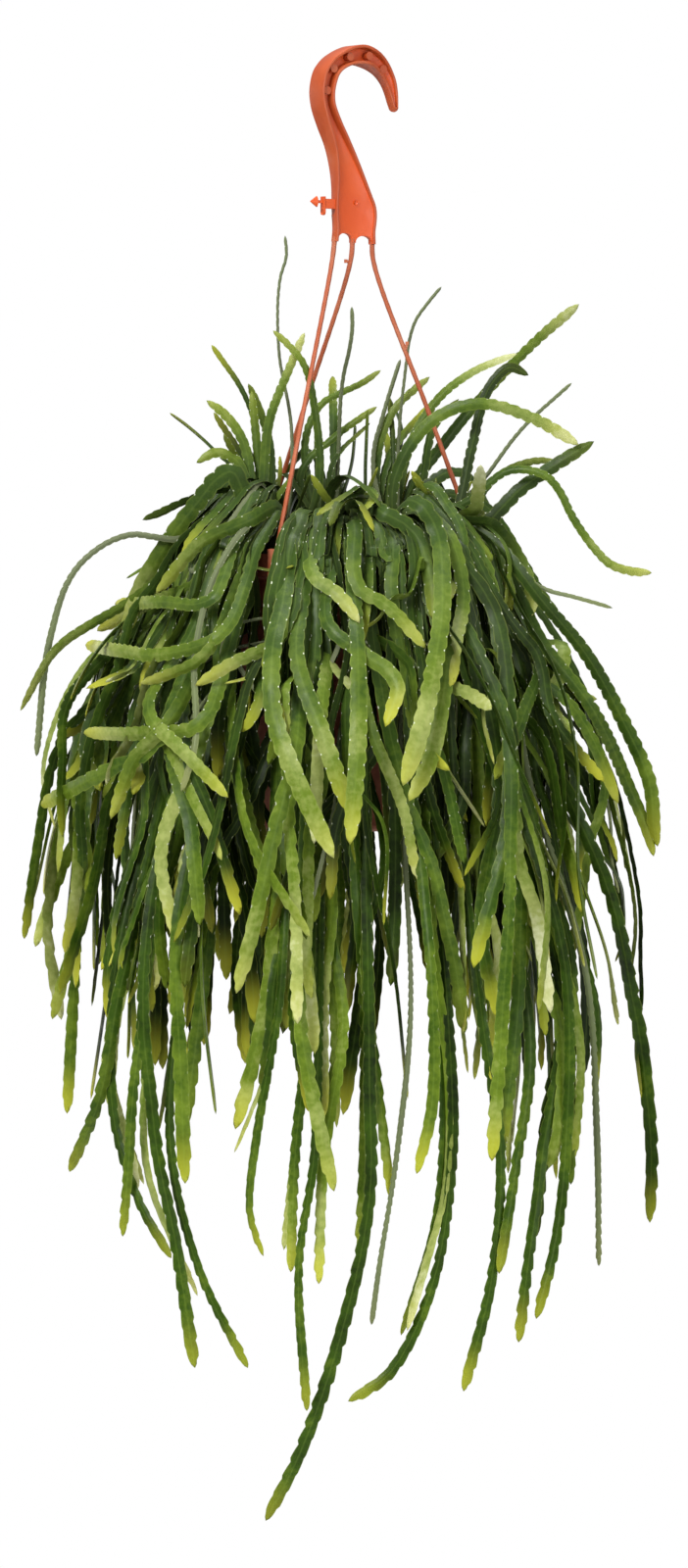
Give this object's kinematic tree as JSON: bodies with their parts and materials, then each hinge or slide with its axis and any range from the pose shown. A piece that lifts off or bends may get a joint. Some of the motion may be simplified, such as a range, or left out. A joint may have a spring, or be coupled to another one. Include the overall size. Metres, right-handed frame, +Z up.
{
  "type": "potted lepismium bolivianum in a hanging pot",
  "caption": "Lepismium bolivianum in a terracotta plastic hanging pot: flat green toothed stems arch over the rim and hang as a long mop below a moulded hook.",
  "frame": {"origin": "top of the hook's throat, where the hook rests on what it hangs from", "axes": "+Z up along the pot's axis, -Y towards the front of the plant, +X to its right as seen from the front"},
  "size_m": [0.3265, 0.3212, 0.7545],
  "materials": {
    "hanger_plastic": "satin terracotta orange moulding",
    "pot_plastic": "matte terracotta brown",
    "soil": "coarse peat and bark",
    "stem": "smooth waxy green skin, paler to yellow at the tips"
  },
  "bodies": {
    "root": {"hanger": "hanger_plastic", "pot": "pot_plastic", "soil": "soil", "stems_back_right": "stem", "stems_back": "stem", "stems_back_left": "stem", "stems_front_left": "stem", "stems_front": "stem", "stems_front_right": "stem"}
  },
  "joints": []
}
